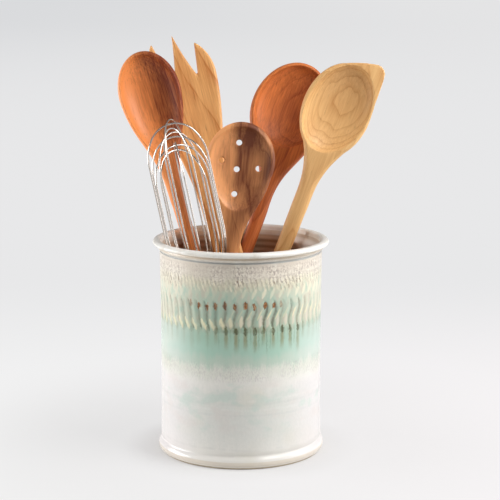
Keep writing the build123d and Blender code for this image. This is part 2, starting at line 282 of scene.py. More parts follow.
def build_wood_grain():
    """The grain that all the woods share, in a piece's own coordinates with Z along the grain."""
    inputs = [("Coordinates", "v"), ("Pale", "c"), ("Dark", "c"), ("Ring Direction", "v")]
    inputs += [("Ring Pitch", "f"), ("Ring Sway", "f"), ("Ring Sharpness", "f"), ("Ring Strength", "f")]
    inputs += [("Heartwood", "f"), ("Fibre Strength", "f")]
    inputs += [("Pore Strength", "f"), ("Patch Strength", "f")]
    outputs = [("Color", "c"), ("Gloss Change", "f"), ("Height", "f")]
    group, tree, given, result = new_group("wood_grain", inputs, outputs)
    coordinates = given["Coordinates"]
    tone_reach = 17 * mm
    wobble_reach = 0.9 * mm

    # Growth rings: a late dark line and a short early one in each, none as strong as the next
    sway_place = tree.drawn_out(coordinates, 0.22)
    sway = tree.times(tree.noise(sway_place, 28), given["Ring Sway"])
    wobble = tree.times(tree.noise(sway_place, 160), wobble_reach)
    depth = tree.plus(tree.vector("DOT_PRODUCT", coordinates, given["Ring Direction"]), sway)
    # Tone across the grain: heartwood, and on the left cherry and the walnut also painted shade and
    # painted light
    heart_and_shading = tree.between(depth, -tone_reach, tone_reach, -0.5, 0.5)
    heart_and_shading = tree.times(heart_and_shading, given["Heartwood"])
    rings = tree.math("DIVIDE", tree.plus(depth, wobble), given["Ring Pitch"])
    ring = tree.math("FRACT", rings)
    late = tree.math("POWER", ring, given["Ring Sharpness"])
    early = tree.between(ring, 0.0, 0.07, 1.0, 0.0)
    ring_weight = tree.times_plus(tree.random(tree.math("FLOOR", rings)), 0.7, 0.3)
    ring_line = tree.times(tree.math("MAXIMUM", late, early), ring_weight, given["Ring Strength"])

    # Fine fibres, and patches that took more oil
    fibre = tree.noise(tree.drawn_out(coordinates, 0.05), 750, 3, 0.6)
    fibre = tree.times(fibre, given["Fibre Strength"])
    patch = tree.noise(tree.drawn_out(coordinates, 0.3), 55)
    patch = tree.times(patch, given["Patch Strength"])
    tone = tree.plus(ring_line, heart_and_shading, tree.plus(patch, 0.3))
    tone = tree.plus(tone, fibre, clamp=True)

    # Open pores, darker and deeper than the wood round them
    pore = tree.noise(tree.drawn_out(coordinates, 0.07), 1150, 1)
    pore = tree.between(pore, 0.13, 0.24)
    pore_colour = tree.mix(1.0, given["Dark"], (0.45, 0.4, 0.38, 1), "MULTIPLY")
    colour = tree.mix(tone, given["Pale"], given["Dark"])
    colour = tree.mix(tree.times(pore, given["Pore Strength"]), colour, pore_colour)
    tree.put(colour, result["Color"])
    tree.put(tree.plus(tree.times(tone, 0.12), tree.times(pore, 0.15)), result["Gloss Change"])
    tree.put(tree.minus(tree.times(fibre, 0.4), pore), result["Height"])
    return group


wood_grain = build_wood_grain()


def own_axes(node):
    """The foot of a utensil and its axes: across, out of its face and along its length."""
    body = nodes[node]["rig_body"]
    along = Vector(next(joint["axis"] for joint in frame["joints"] if joint["child"] == body)).normalized()
    across = Vector((along.z, 0, -along.x)).normalized()
    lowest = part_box(node)[0].z
    reach = 6 * mm
    ends = [v.co for v in nodes[node].data.vertices if v.co.z < lowest + reach]
    foot = sum(ends, Vector()) / len(ends)
    return foot, Matrix((across, along.cross(across), along)).transposed()


def wood(name, node, shift, **grain_values):
    """An oiled wood whose grain runs along the utensil, and is shifted across it."""
    roughness = 0.4
    material, tree, shader = new_material(name, Roughness=roughness, Specular_IOR_Level=0.35)
    foot, axes = own_axes(node)
    place = tree.add("TexCoord").outputs["Object"]
    mapping = tree.add("Mapping", {"vector_type": "TEXTURE"}, Vector=place)
    mapping.inputs["Location"].default_value = foot - axes @ Vector((shift, 0, 0))
    mapping.inputs["Rotation"].default_value = axes.to_euler()
    grain = use_group(tree, wood_grain, Coordinates=mapping.outputs[0], **grain_values)
    tree.put(grain["Color"], shader.inputs["Base Color"])
    tree.put(tree.plus(grain["Gloss Change"], roughness), shader.inputs["Roughness"])
    relief(tree, shader, grain["Height"], distance=0.12 * mm, strength=0.6)
    return material


# The left cherry's tone across the grain darkens the right of its bowl: painted shade on the hollow's
# right wall
cherry = wood(
    "cherry_wood",
    "left_cherry_spoon",
    shift=-4 * mm,
    Pale=srgb(250, 154, 86),
    Dark=srgb(128, 52, 22),
    Ring_Direction=(0.95, 0.3, 0.02),
    Ring_Pitch=6.5 * mm,
    Ring_Sway=14 * mm,
    Ring_Sharpness=3.0,
    Ring_Strength=0.35,
    Heartwood=1.1,
    Fibre_Strength=1.2,
    Pore_Strength=0.3,
    Patch_Strength=0.7,
)
dark_cherry = wood(
    "dark_cherry_wood",
    "right_cherry_spoon",
    shift=75 * mm,
    Pale=srgb(226, 130, 68),
    Dark=srgb(140, 62, 26),
    Ring_Direction=(0.35, 0.9, -0.08),
    Ring_Pitch=5.5 * mm,
    Ring_Sway=16 * mm,
    Ring_Sharpness=3.5,
    Ring_Strength=0.45,
    Heartwood=0.5,
    Fibre_Strength=1.1,
    Pore_Strength=0.25,
    Patch_Strength=1.2,
)
golden_wood = wood(
    "golden_wood",
    "wooden_fork",
    shift=20 * mm,
    Pale=srgb(255, 196, 126),
    Dark=srgb(202, 122, 58),
    Ring_Direction=(0.9, 0.4, 0.2),
    Ring_Pitch=17 * mm,
    Ring_Sway=26 * mm,
    Ring_Sharpness=7.0,
    Ring_Strength=0.7,
    Heartwood=0.0,
    Fibre_Strength=1.3,
    Pore_Strength=0.3,
    Patch_Strength=1.2,
)
# The walnut's tone across the grain pales towards its neck: painted light on the neck, which lies in shade
walnut = wood(
    "walnut_wood",
    "slotted_spoon",
    shift=-31 * mm,
    Pale=srgb(246, 170, 110),
    Dark=srgb(118, 62, 36),
    Ring_Direction=(0.9, 0.4, 0.15),
    Ring_Pitch=11 * mm,
    Ring_Sway=34 * mm,
    Ring_Sharpness=1.6,
    Ring_Strength=0.3,
    Heartwood=0.8,
    Fibre_Strength=0.7,
    Pore_Strength=0.18,
    Patch_Strength=2.2,
)
maple = wood(
    "maple_wood",
    "corner_spoon",
    shift=40 * mm,
    Pale=srgb(248, 202, 138),
    Dark=srgb(204, 138, 76),
    Ring_Direction=(0.12, 0.95, 0.05),
    Ring_Pitch=2.5 * mm,
    Ring_Sway=18 * mm,
    Ring_Sharpness=6.0,
    Ring_Strength=0.5,
    Heartwood=0.0,
    Fibre_Strength=0.9,
    Pore_Strength=0.2,
    Patch_Strength=0.7,
)


class Glaze:
    """The crock's glazes, with painted sheen, highlight and shade, laid on in layers that follow the
    height and the turn round the axis.
    """

    # The glazes from the foot to the rim, by shares of the crock's height. The palest stops at the foot
    # and at the rim are partly painted highlight on the foot roll and the rim roll.
    colours_by_height = (
        (0.0, srgb(242, 238, 231)),
        (0.20, srgb(228, 228, 222)),
        (0.33, srgb(226, 227, 220)),
        (0.395, srgb(236, 234, 227)),
        (0.45, srgb(224, 225, 214)),
        (0.50, srgb(190, 209, 193)),
        (0.545, srgb(172, 206, 188)),
        (0.60, srgb(166, 198, 178)),
        (0.66, srgb(178, 194, 172)),
        (0.74, srgb(180, 197, 178)),
        (0.80, srgb(188, 201, 182)),
        (0.845, srgb(211, 207, 184)),
        (0.885, srgb(221, 212, 197)),
        (0.93, srgb(219, 208, 194)),
        (0.962, srgb(230, 223, 211)),
        (0.982, srgb(242, 239, 232)),
        (1.0, srgb(246, 243, 237)),
    )

    # How much marks shake and wander, in shares of the distance from one to the next, and swell, in shares
    # of their width. Then the shares of a mark that are its full middle and each soft end.
    shake = 0.22
    wander = 0.24
    swell = 0.6
    full_middle = 0.2
    soft_end = 0.04

    # Places of the beads and drips, which run from the same cuts
    drop_seed = 31.0

    def __init__(self, tree):
        self.tree = tree
        self.place = tree.add("TexCoord").outputs["Object"]
        self.x, y, self.z = tree.separate(self.place)
        self.turn = tree.math("ARCTAN2", self.x, tree.times(y, -1.0))
        self.across_turn = tree.math("SINE", self.turn)
        self.radius = tree.from_axis(self.x, y)
        streaks = tree.drawn_out(self.place, 0.18)
        self.fine_streak = tree.noise(streaks, 620)
        self.wide_streak = tree.noise(streaks, 120, 3)
        self.cloud = tree.noise(self.place, 26)
        self.mottle = tree.noise(tree.drawn_out(self.place, 0.6), 640)
        self.blur = tree.noise(tree.vector("ADD", self.place, (0.3, 0.1, 0.2)), 420)
        uneven = tree.times_plus(self.wide_streak, 3 * mm, self.z)
        self.uneven_height = tree.times_plus(self.mottle, 2.2 * mm, uneven)

        # Masks of both sides, where sheen is painted, of the left and the right one, and of the rusty
        # glaze in front and behind
        self.sides = tree.between(tree.math("ABSOLUTE", self.across_turn), 0.4, 0.92)
        self.left_side = tree.between(self.across_turn, left_side_full, left_side_end, 1.0, 0.0)
        self.right_side = tree.between(self.across_turn, -0.25, 0.2)
        self.twice = tree.times(self.turn, 2.0)
        self.rusty = tree.between(tree.math("COSINE", tree.plus(self.twice, 0.14)), 0.05, 0.7)

        # Colours by height, pulled down in streaks where the glaze ran
        run = tree.plus(tree.times(self.wide_streak, 14 * mm), tree.times(self.fine_streak, 6 * mm))
        run = tree.plus(run, tree.times(self.cloud, 7 * mm))
        level = tree.math("DIVIDE", tree.plus(self.z, run), crock_height)
        self.colour = tree.ramp(level, self.colours_by_height)

    def lay(self, mask, tone, strength=None):
        """Lays a tone over the glaze where the mask is."""
        if strength is not None:
            mask = self.tree.times(mask, strength)
        self.colour = self.tree.mix(mask, self.colour, tone)

    def share_up(self, low, high, rise):
        """How far up a row of marks a point is, from 0 at its uneven lower edge to 1 at the upper one."""
        height = self.tree.minus(self.uneven_height, rise)
        return self.tree.math("DIVIDE", self.tree.minus(height, low), high - low)

    def row(
        self,
        low,
        high,
        half_width,
        count=marks,
        seed=0.0,
        slant=0.0,
        curl=0.0,
        shift=0.0,
        taper=1.0,
        rise=0.0,
    ):
        """A row of marks round the crock. Returns their mask, and a random number for each mark."""
        tree = self.tree

        # Which mark a point belongs to, and how far across that mark it is
        height = self.share_up(low, high, rise)
        lean = tree.times(tree.minus(height, 0.5), slant)
        wave = tree.times(tree.math("SINE", tree.times(height, 2 * pi)), curl)
        along = tree.times(self.turn, count / (2 * pi))
        along = tree.plus(along, shift, tree.plus(lean, wave))
        along = tree.times_plus(self.mottle, self.shake, along)
        chance = tree.random(tree.plus(tree.math("FLOOR", along), seed))
        offset = tree.times(tree.minus(chance, 0.5), self.wander)
        across = tree.minus(tree.minus(tree.math("FRACT", along), 0.5), offset)

        # Each mark is widest halfway up, and narrows to both of its ends
        reach = tree.times(height, tree.minus(1.0, height), 4.0)
        reach = tree.math("POWER", tree.math("MAXIMUM", reach, 0.0), taper)
        width = tree.times_plus(self.fine_streak, half_width * self.swell, half_width)
        reach = tree.times(reach, width)
        middle = tree.times(reach, self.full_middle)
        mask = tree.between(tree.math("ABSOLUTE", across), middle, reach, 1.0, 0.0)
        inside = tree.band(height, self.soft_end, 1 - self.soft_end, self.soft_end)
        return tree.times(mask, inside), chance

    def varied(self, mask, chance, least, most):
        """A mask whose marks differ in strength."""
        return self.tree.times(mask, self.tree.times_plus(chance, most - least, least))

    def falling(self, mask, chance, end, spread, soft):
        """A row of runs, each fading out at its own height, from end down to spread below it."""
        lowest = self.tree.times_plus(chance, -spread, end)
        fall = self.tree.between(self.tree.minus(self.z, lowest), -soft, 8 * mm)
        return self.tree.times(mask, fall)

    def lay_clouds_and_side_sheen(self):
        """Faint warm clouds, and paler cream, white and pinkish tones on both sides: painted sheen and
        light from the side lamps, with some of the glaze's own cream on the left of the shoulder.
        """
        tree = self.tree
        self.lay(tree.between(self.cloud, 0.02, 0.22), srgb(230, 224, 204), 0.3)
        cream, white, pinkish = srgb(228, 223, 202), srgb(230, 232, 230), srgb(234, 227, 229)
        for low, high, soft, tone, strength in (
            (122 * mm, 148 * mm, 10 * mm, cream, 0.75),
            (90 * mm, 110 * mm, 9 * mm, white, 0.4),
            (6 * mm, 66 * mm, 9 * mm, pinkish, 0.6),
        ):
            self.lay(tree.times(tree.band(self.z, low, high, soft), self.sides), tone, strength)

    def lay_rib_line_shading(self):
        """Faint lines round the lower wall, pale and grey in turn: painted highlight and shade of the soft
        rib lines.
        """
        tree = self.tree
        wavy = tree.times_plus(self.cloud, 4 * mm, self.z)
        strength = 0.3
        for height, tone in (
            (57 * mm, srgb(246, 244, 240)),
            (53.5 * mm, srgb(202, 206, 202)),
            (49 * mm, srgb(244, 243, 240)),
            (44.5 * mm, srgb(202, 206, 204)),
            (15.5 * mm, srgb(208, 206, 202)),
        ):
            line = tree.band(wavy, height, height + 0.6 * mm, 1.2 * mm)
            self.lay(tree.times(line, tree.between(self.wide_streak, -0.3, 0.3)), tone, strength)

    def lay_lower_wall(self):
        """Faint green and pinkish clouds on the lower wall, and a fine grey mottle."""
        tree = self.tree
        veil = tree.noise(tree.drawn_out(self.place, 1.6), 42, 3)
        low_wall = tree.band(self.z, 36 * mm, 66 * mm, 12 * mm)
        self.lay(tree.times(low_wall, tree.between(veil, 0.02, 0.18)), srgb(204, 220, 210), 0.6)
        self.lay(tree.times(low_wall, tree.between(veil, -0.02, -0.18)), srgb(228, 216, 210), 0.3)
        dapple = tree.band(self.z, 18 * mm, 70 * mm, 6 * mm)
        self.lay(tree.times(dapple, tree.between(self.mottle, -0.2, 0.2)), srgb(168, 176, 170), 0.07)

    def lay_shoulder(self):
        """Beige and teal patches behind the marks."""
        tree = self.tree
        blotch = tree.noise(tree.drawn_out(self.place, 0.45), 230)
        shoulder = tree.band(self.z, 116 * mm, 148 * mm, 5 * mm)
        self.lay(tree.times(shoulder, tree.between(blotch, 0.02, 0.18)), srgb(204, 190, 172), 0.5)
        self.lay(tree.times(shoulder, tree.between(blotch, -0.02, -0.18)), srgb(150, 192, 176), 0.4)

    def lay_net(self):
        """A fuzzy net of small cuts under the rim. Returns the cuts, and the patchy mask on them."""
        tree = self.tree
        patchy = tree.between(tree.plus(self.wide_streak, self.cloud), -0.25, 0.2, 0.2, 1.0)
        waves_around, waves_up = 66.0, 700.0
        around = tree.times_plus(self.turn, waves_around, tree.times(self.mottle, 7.0))
        upward = tree.times_plus(self.z, waves_up, tree.times(self.blur, 9.0))
        one_way = tree.math("SINE", tree.plus(around, upward))
        net = tree.times(one_way, tree.math("SINE", tree.minus(around, upward)))
        net_low, net_high = 153 * mm, 165 * mm
        netted = tree.times(tree.band(self.z, net_low, net_high, 5 * mm, 2.5 * mm), patchy)
        knots = tree.times(netted, tree.between(net, 0.05, 0.8))
        self.lay(knots, srgb(146, 128, 122), 0.6)
        self.lay(tree.times(netted, tree.between(net, -0.1, -0.85)), srgb(248, 242, 230), 0.8)
        return tree.times(knots, 0.7), patchy

    def lay_dashes(self, nicks, patchy):
        """Two rows of short slanting dashes below the net. Returns all the small cuts."""
        tree = self.tree
        shift = tree.times(self.mottle, 0.5)
        half_way = tree.plus(shift, 0.5)
        pale_seed = 40
        for low, high, count, slant, seed, strength in (
            (145 * mm, 152 * mm, 108, 0.6, 5.0, 0.7),
            (149 * mm, 157.5 * mm, 116, 0.7, 3.0, 1.0),
        ):
            cut, chance = self.row(low, high, 0.24, count, seed, slant=slant, shift=shift)
            cut = tree.times(self.varied(cut, chance, 0.1, 1.0), patchy)
            self.lay(cut, srgb(142, 122, 98), strength)
            pale, chance = self.row(low, high, 0.3, count, seed + pale_seed, slant=slant, shift=half_way)
            self.lay(self.varied(pale, chance, 0.1, 1.0), srgb(244, 236, 212), strength)
            nicks = tree.plus(nicks, cut)
        return nicks

    def lay_marks(self):
        """The main row: a thin dark line down each cut, in a wider pool of grey green."""
        tree = self.tree
        slant = tree.times(self.left_side, mark_slant)
        curl = tree.times_plus(self.left_side, -left_curl_loss * mark_curl, mark_curl)
        uneven = tree.times_plus(self.cloud, 1.4, tree.times_plus(self.rusty, 0.4, 0.5), clamp=True)
        # Weaker on both sides: painted sheen over the marks there
        uneven = tree.times(uneven, tree.times_plus(self.sides, -0.4, 1.0))
        low, high = mark_low, mark_high
        pool, chance = self.row(low, high, mark_half_width, slant=slant, curl=curl, taper=mark_taper)
        self.lay(tree.times(self.varied(pool, chance, 0.6, 1.0), uneven), srgb(134, 140, 118), 0.6)

        low, high = mark_low - 1 * mm, mark_high - 1 * mm
        line, chance = self.row(low, high, half_width=0.2, slant=slant, curl=curl, taper=0.4)
        line = tree.times(self.varied(line, chance, 0.5, 1.1), uneven)
        line = tree.times(line, tree.between(self.blur, -0.3, 0.05, 0.45, 1.0))
        upper = tree.between(self.share_up(low, high, 0.0), 0.1, 0.5)
        self.lay(line, tree.mix(upper, srgb(84, 84, 58), srgb(98, 92, 80)), 0.8)

    def lay_cream_edges_and_highlights(self):
        """Cream on the edges between the cuts, in three rows: partly thin cream glaze, partly painted
        highlight on the edges that face the lamps. Their slant turns from the left side to the right, and
        two rows lie mostly on the right.
        """
        tree = self.tree
        # The slant and the rows on the right follow which edge faces a lamp: painted highlight
        slant = tree.between(self.across_turn, -0.5, 0.1, 0.6, -0.2)
        rise = tree.times(self.left_side, -4 * mm)
        low, high = mark_low + 2 * mm, mark_low + 12.5 * mm
        edge, chance = self.row(
            low, high, half_width=0.38, seed=17.0, slant=slant, curl=-0.04, shift=0.5, taper=0.9, rise=rise
        )
        tone = tree.mix(self.right_side, srgb(234, 228, 192), srgb(218, 208, 188))
        self.lay(self.varied(edge, chance, 0.6, 0.95), tone)

        low, high = mark_low + 8 * mm, mark_low + 17 * mm
        edge, chance = self.row(low, high, half_width=0.18, seed=51.0, slant=-0.6, shift=0.5)
        self.lay(tree.times(self.varied(edge, chance, 0.4, 0.95), self.right_side), srgb(240, 230, 192))

        low, high = mark_high + 1 * mm, mark_high + 10 * mm
        edge, chance = self.row(low, high, half_width=0.32, seed=23.0, slant=-0.4, shift=0.1)
        weight = tree.times_plus(self.right_side, 0.7, 0.3)
        self.lay(tree.times(self.varied(edge, chance, 0.4, 0.95), weight), srgb(238, 232, 206))

    def lay_rust(self):
        """Rust spots at the top of the cuts on the front and the back."""
        tree = self.tree
        low, high = mark_high - 7 * mm, mark_high - 0.6 * mm
        rise = tree.times_plus(self.blur, 7 * mm, tree.times(self.cloud, 5 * mm))
        spot, chance = self.row(low, high, half_width=0.34, taper=0.8, rise=rise)
        spot = tree.times(self.varied(spot, chance, 0.9, 1.3), self.rusty)
        spot = tree.times(spot, tree.between(self.mottle, -0.25, 0.0, 0.6, 1.0), clamp=True)
        speck = tree.between(self.mottle, -0.2, 0.1)
        self.lay(spot, tree.mix(speck, srgb(190, 128, 70), srgb(112, 70, 38)))

    def lay_drips(self):
        """Olive glaze that gathered at the foot of the cuts, and ran down in drips and trickles."""
        tree = self.tree
        running = tree.math("COSINE", tree.minus(self.twice, 0.5))
        running = tree.between(running, 0.1, 0.8, 0.2, 1.0)
        low, high = mark_low - 40 * mm, mark_low + 3 * mm
        drip, chance = self.row(low, high, half_width=0.34, seed=self.drop_seed, taper=0.3)
        drip = self.falling(drip, chance, end=mark_low - 8 * mm, spread=12 * mm, soft=5 * mm)
        self.lay(tree.times(drip, running), srgb(148, 146, 108), 0.8)

        low, high = mark_low - 4.5 * mm, mark_low + 2.5 * mm
        rise = tree.times(self.blur, 6 * mm)
        bead, chance = self.row(low, high, half_width=0.36, seed=self.drop_seed, taper=1.3, rise=rise)
        bead = tree.times(self.varied(bead, chance, 0.5, 1.1), running)
        bead = tree.times(bead, tree.between(self.mottle, -0.3, 0.05, 0.5, 1.0), clamp=True)
        self.lay(bead, srgb(74, 78, 50))

        count = 2.4 * marks
        low, high = mark_low - 30 * mm, mark_low + 2 * mm
        shift = tree.times(self.mottle, 0.5)
        trickle, chance = self.row(low, high, 0.3, count, seed=71.0, shift=shift, taper=0.3)
        trickle = self.falling(trickle, chance, end=mark_low - 1 * mm, spread=18 * mm, soft=4 * mm)
        self.lay(tree.times(trickle, self.varied(running, chance, 0.15, 0.7)), srgb(134, 160, 134))

        smudge = tree.band(self.z, mark_low - 0.8 * mm, mark_low + 2 * mm, 2 * mm)
        front = tree.band(tree.math("COSINE", self.twice), 0.93, 1.1, 0.2)
        broken = tree.between(self.wide_streak, -0.3, 0.2, 0.3, 1.0)
        self.lay(tree.times(smudge, front, broken), srgb(104, 112, 76), 0.35)

    def lay_speckles(self):
        """A speckled run where the green glaze ends."""
        tree = self.tree
        fine_run = tree.noise(tree.drawn_out(self.place, 0.35), 1300)
        patchy = tree.between(self.cloud, -0.2, 0.1, 0.3, 1.0)
        speckled = tree.times(tree.band(self.z, 75 * mm, 84 * mm, 5 * mm), patchy)
        self.lay(tree.times(speckled, tree.between(fine_run, -0.02, 0.14)), srgb(178, 168, 172), 0.36)
        self.lay(tree.times(speckled, tree.between(fine_run, -0.04, -0.18)), srgb(242, 238, 226), 0.35)

    def lay_edge_shade_and_bare_foot(self):
        """A grey line in the groove, and beige under the rim roll and low on the foot roll: painted shade
        where these turn from the light, over the thin glaze of the rim and foot. Returns where the foot is
        bare.
        """
        # Painted shade in the groove, under the rim roll and on the lower side of the foot roll
        for low, high, soft, tone in (
            (168.3 * mm, 169.3 * mm, 0.5 * mm, srgb(158, 166, 172)),
            (171.6 * mm, 173.4 * mm, 0.8 * mm, srgb(204, 184, 160)),
            (3 * mm, 5.6 * mm, 1 * mm, srgb(222, 208, 188)),
        ):
            self.lay(self.tree.band(self.z, low, high, soft), tone, 0.6)
        bare = self.tree.between(self.z, 1.0 * mm, 2.4 * mm, 1.0, 0.0)
        self.lay(bare, srgb(198, 182, 156))
        return bare

    def lay_inside(self):
        """Brown glaze inside, paler on each throwing line, on the right and towards the lip."""
        tree = self.tree
        inside = tree.between(self.radius, inner_radius + 1.2 * mm, inner_radius + 4.2 * mm, 1.0, 0.0)
        inside = tree.times(inside, tree.between(self.z, 4 * mm, 5 * mm))
        ring = tree.math("SINE", tree.times(self.z, 2 * pi / finger_ring_pitch))
        ring = tree.times_plus(ring, 0.25, tree.times_plus(self.cloud, 0.9, 0.4), clamp=True)
        brown = tree.mix(ring, srgb(148, 112, 84), srgb(206, 172, 144))
        lit_side = tree.between(self.x, 30 * mm, 56 * mm, 0.0, 15 * mm)
        height = tree.plus(lit_side, tree.times_plus(self.wide_streak, 6 * mm, self.z))
        lip = tree.between(height, 172.5 * mm, 178.5 * mm)
        self.lay(inside, tree.mix(lip, brown, srgb(250, 245, 240)))


def glaze_material():
    """The glazes and the painted light and shade, in the order they lie in, with a little relief from the
    streaks and small cuts.
    """
    material, tree, shader = new_material("crock_glaze")
    glaze = Glaze(tree)
    glaze.lay_clouds_and_side_sheen()
    glaze.lay_rib_line_shading()
    glaze.lay_lower_wall()
    glaze.lay_shoulder()
    nicks = glaze.lay_dashes(*glaze.lay_net())
    glaze.lay_marks()
    glaze.lay_cream_edges_and_highlights()
    glaze.lay_rust()
    glaze.lay_drips()
    glaze.lay_speckles()
    bare = glaze.lay_edge_shade_and_bare_foot()
    glaze.lay_inside()

    tree.put(glaze.colour, shader.inputs["Base Color"])
    gloss = tree.plus(tree.times_plus(glaze.cloud, 0.1, 0.24), tree.times(bare, 0.5))
    tree.put(gloss, shader.inputs["Roughness"])
    lift = tree.plus(tree.times(glaze.fine_streak, 0.3), tree.times(glaze.wide_streak, 0.5))
    lift = tree.plus(lift, tree.times(nicks, -0.6))
    relief(tree, shader, lift, distance=0.25 * mm, strength=0.5)
    return material


def steel(name, pale, rough, brushed):
    """Polished or satin steel, with fine lines round the piece where it is brushed."""
    material, tree, shader = new_material(name, Metallic=1.0)
    place = tree.add("TexCoord").outputs["Object"]
    lines = tree.noise(tree.vector("MULTIPLY", place, (0.15, 0.15, 1.0)), 2600)
    smears = tree.noise(place, 90)
    tone = tree.times_plus(lines, brushed, tree.times_plus(smears, 0.6, 0.5), clamp=True)
    shade = tuple(channel * 0.8 for channel in pale[:3]) + (1,)
    tree.put(tree.mix(tone, shade, pale), shader.inputs["Base Color"])
    change = tree.plus(tree.times(lines, brushed), tree.times(smears, 0.1))
    tree.put(tree.plus(change, rough), shader.inputs["Roughness"])
    relief(tree, shader, lines, distance=0.02 * mm, strength=brushed)
    return material


def arc(centre, radius_out, radius_up, start, end, steps):
    """Points on an ellipse in the profile, without the first one."""
    angles = [radians(start + (end - start) * step / steps) for step in range(1, steps + 1)]
    return [(centre[0] + radius_out * cos(angle), centre[1] + radius_up * sin(angle)) for angle in angles]


def bow(start, end, bulge, steps):
    """Points on a shallow curve from start to end, without the first one."""
    points = []
    for step in range(1, steps + 1):
        share = step / steps
        out = 4 * bulge * share * (1 - share)
        across = start[0] + (end[0] - start[0]) * share + out
        points.append((across, start[1] + (end[1] - start[1]) * share))
    return points


def wall_point(height, low, high):
    """The outside of the wall: slightly waisted, with the soft lines left by the potter's rib."""
    share = (height - low) / (high - low)
    start = wall_radius + foot_groove_depth
    waist = (start + shoulder_radius) / 2 - wall_radius
    radius = start + (shoulder_radius - start) * share - 4 * waist * share * (1 - share)
    for line_height, lift in rib_lines:
        radius += lift * exp(-(((height - line_height) / rib_line_width) ** 2))
    return radius, height


def crock_outline():
    """The profile, from the middle of the underside, over the rim, to the middle of the inner floor."""
    foot_ring = foot_edge_radius - foot_bevel
    ring_inside = foot_ring - ring_width
    foot_top = wall_radius + foot_groove_depth
    wall_low = foot_roll_height + foot_groove_width
    underside = crock_height - roll_height
    bead_low = underside - bead_height
    groove_low = bead_low - groove_width
    lip_height = crock_height - roll_height / 2
    neck = bead_radius - neck_depth
    ring_top = crock_height - lip_fall
    corner_top = floor_height + floor_corner
    near_marks = 2 * mm

    # Underside, foot ring, foot roll and the groove over it
    points = [(0.0, recess), (ring_inside / 2, recess), (ring_inside - recess_slope, recess)]
    points += [(ring_inside, 0.0), ((ring_inside + foot_ring) / 2, 0.0), (foot_ring, 0.0)]
    points.append((foot_edge_radius, foot_bevel))
    points += bow((foot_edge_radius, foot_bevel), (foot_top, foot_roll_height), foot_roll_bulge, 8)
    points += bow((foot_top, foot_roll_height), (foot_top, wall_low), -foot_groove_depth, 4)

    # Wall, in finer steps where the marks are cut
    height = wall_low
    while height < groove_low - fine_step:
        at_marks = mark_low - near_marks < height < mark_high + near_marks
        height += fine_step if at_marks else coarse_step
        points.append(wall_point(min(height, groove_low), wall_low, groove_low))

    # Groove, bead and the rolled rim
    points += bow((shoulder_radius, groove_low), (shoulder_radius, bead_low), -groove_depth, 4)
    points += bow((shoulder_radius, bead_low), (neck, underside), bead_bulge, 6)
    points.append((crest_radius, underside))
    roll = (crest_radius, lip_height)
    points += arc(roll, rim_radius - crest_radius, roll_height / 2, -90, 90, 12)
    points += arc(roll, crest_radius - lip_radius, roll_height / 2, 90, 180, 6)

    # Inside, with the rings left by the potter's fingers
    points += bow(points[-1], (inner_radius, ring_top), lip_bulge, 4)
    high = ring_top
    while high - finger_ring_pitch > corner_top:
        low = high - finger_ring_pitch
        points += bow((inner_radius, high), (inner_radius, low), finger_ring_depth, 3)
        high = low
    points.append((inner_radius, corner_top))
    points += arc((inner_radius - floor_corner, corner_top), floor_corner, floor_corner, 0, -90, 6)
    points += [(inner_radius / 2, floor_height), (0.0, floor_height)]
    return points


def cut_depth(turn, height):
    """How deep the chattering tool cut at this place, as a share of its deepest cut."""
    share = (height - mark_low) / (mark_high - mark_low)
    if not 0 < share < 1:
        return 0.0
    left_side = (left_side_end - sin(turn)) / (left_side_end - left_side_full)
    left_side = min(1.0, max(0.0, left_side))
    left_side *= left_side * (3 - 2 * left_side)
    curl = mark_curl * (1 - left_curl_loss * left_side)
    lean = mark_slant * left_side * (share - 0.5) + curl * sin(2 * pi * share)
    across = (turn * marks / (2 * pi) + lean) % 1 - 0.5
    reach = mark_half_width * (4 * share * (1 - share)) ** mark_taper
    if reach <= least_reach:
        return 0.0
    return max(0.0, 1 - (across / reach) ** 2)


def finish_piece(piece, name, body, slot, material, *replaced):
    """Names a piece, gives it its material and ties it to its body."""
    piece.name = name
    piece.data.name = name
    piece.data.materials.clear()
    piece.data.materials.append(material)
    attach(piece, body)
    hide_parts(*replaced)
    piece.select_set(False)


def throw_crock():
    """Spins the profile, then cuts the row of marks into the shoulder."""
    points = crock_outline()
    bpy.ops.mesh.primitive_plane_add(size=mm, location=(0, 0, 0))
    piece = bpy.context.object
    bpy.ops.object.mode_set(mode="EDIT")
    bpy.ops.mesh.select_all(action="SELECT")
    bpy.ops.mesh.merge(type="CENTER")
    bpy.ops.transform.translate(value=(points[0][0], 0, points[0][1]))
    for start, end in zip(points, points[1:]):
        step = (end[0] - start[0], 0, end[1] - start[1])
        bpy.ops.mesh.extrude_region_move(TRANSFORM_OT_translate={"value": step})
    bpy.ops.mesh.select_all(action="SELECT")
    columns = marks * columns_per_mark
    bpy.ops.mesh.spin(steps=columns, angle=2 * pi, center=(0, 0, 0), axis=(0, 0, 1))
    bpy.ops.mesh.select_all(action="SELECT")
    bpy.ops.mesh.remove_doubles(threshold=0.02 * mm)
    bpy.ops.mesh.normals_make_consistent(inside=False)
    middle_of_wall = (inner_radius + wall_radius) / 2
    shape = bmesh.from_edit_mesh(piece.data)
    for vertex in shape.verts:
        x, y, z = vertex.co
        radius = hypot(x, y)
        if radius > middle_of_wall and mark_low < z < mark_high:
            depth = mark_depth * cut_depth(atan2(x, -y), z)
            vertex.co.x -= x / radius * depth
            vertex.co.y -= y / radius * depth
    bmesh.update_edit_mesh(piece.data)
    bpy.ops.object.mode_set(mode="OBJECT")
    bpy.ops.object.shade_smooth_by_angle(angle=radians(50))
    finish_piece(piece, "glazed_crock", "crock", "crock_glaze", glaze_material(), "crock_body")


